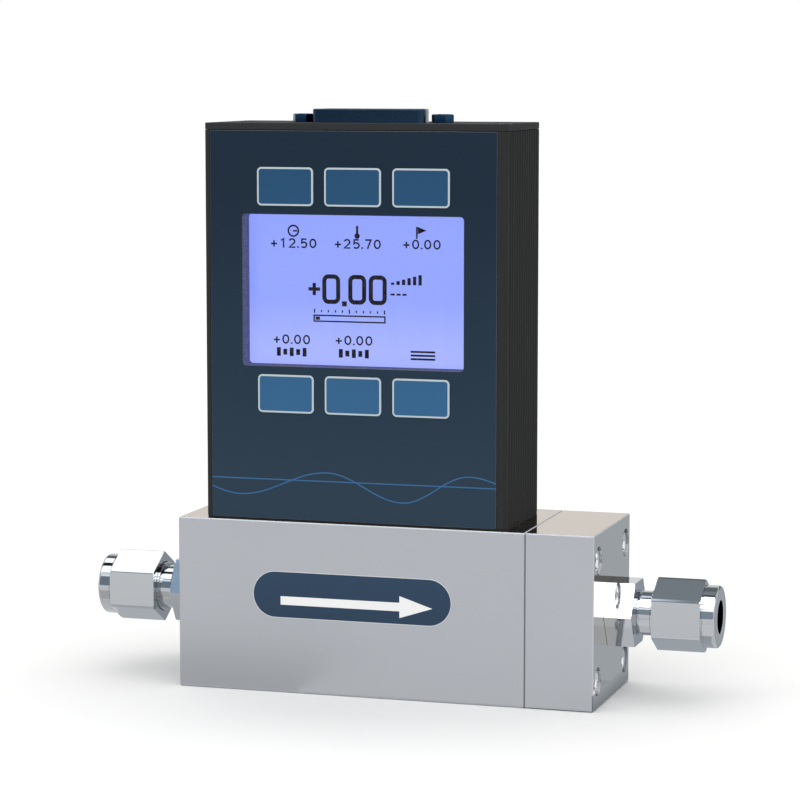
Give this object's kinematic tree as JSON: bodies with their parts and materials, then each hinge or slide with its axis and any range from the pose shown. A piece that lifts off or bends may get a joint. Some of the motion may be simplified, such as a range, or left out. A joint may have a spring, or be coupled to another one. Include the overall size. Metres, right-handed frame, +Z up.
{
  "type": "gas mass flow meter",
  "caption": "Inline gas mass flow meter: steel flow block with a compression fitting at each end and an upright ribbed display housing with a keypad and a lit screen.",
  "frame": {"origin": "middle of the flow block's underside, on the surface that the meter stands on", "axes": "+X along the gas flow, from the inlet to the outlet; -Y out of the display; +Z up, towards the connector"},
  "size_m": [0.1434, 0.0346, 0.1286],
  "materials": {
    "block_steel": "fine ground, bright",
    "fitting_steel": "turned and polished stainless steel",
    "ferrule_steel": "turned",
    "screw_steel": "bright stainless steel",
    "element_steel": "fine machined",
    "seal_rubber": "moulded, matt",
    "housing_black": "satin black anodised extrusion",
    "plate_black": "satin black anodised plate",
    "front_film": "printed polyester, satin",
    "key_film": "printed polyester, satin",
    "display_lens": "clear, polished",
    "display_frame": "black plated sheet steel",
    "display_glass": "lit display face",
    "light_guide": "white moulded",
    "circuit_board": "green solder mask",
    "chip_package": "moulded, matt",
    "sensor_case": "moulded, matt",
    "connector_shell": "nickel plated sheet steel",
    "connector_plastic": "moulded, matt"
  },
  "bodies": {
    "root": {"absolute_sensor": "screw_steel", "board_header": "chip_package", "connector_board": "circuit_board", "connector_insulator": "connector_plastic", "connector_shell": "connector_shell", "differential_sensor": "sensor_case", "display_backlight": "light_guide", "display_board": "circuit_board", "display_frame": "display_frame", "display_lens": "display_lens", "display_panel": "display_glass", "end_block": "block_steel", "end_block_seal": "seal_rubber", "end_screw_1": "screw_steel", "end_screw_2": "screw_steel", "end_screw_3": "screw_steel", "end_screw_4": "screw_steel", "flow_body": "block_steel", "flow_element": "element_steel", "front_film": "front_film", "housing": "housing_black", "housing_gasket": "seal_rubber", "inlet_back_ferrule": "ferrule_steel", "inlet_fitting": "fitting_steel", "inlet_front_ferrule": "ferrule_steel", "inlet_nut": "fitting_steel", "jack_post_1": "screw_steel", "jack_post_2": "screw_steel", "key_1": "key_film", "key_2": "key_film", "key_3": "key_film", "key_4": "key_film", "key_5": "key_film", "key_6": "key_film", "main_board": "circuit_board", "outlet_back_ferrule": "ferrule_steel", "outlet_fitting": "fitting_steel", "outlet_front_ferrule": "ferrule_steel", "outlet_nut": "fitting_steel", "processor": "chip_package", "sensor_board": "circuit_board", "tap_seal_1": "seal_rubber", "tap_seal_2": "seal_rubber", "tap_seal_3": "seal_rubber", "tie_screw_1": "screw_steel", "tie_screw_2": "screw_steel", "top_plate": "plate_black"}
  },
  "joints": []
}
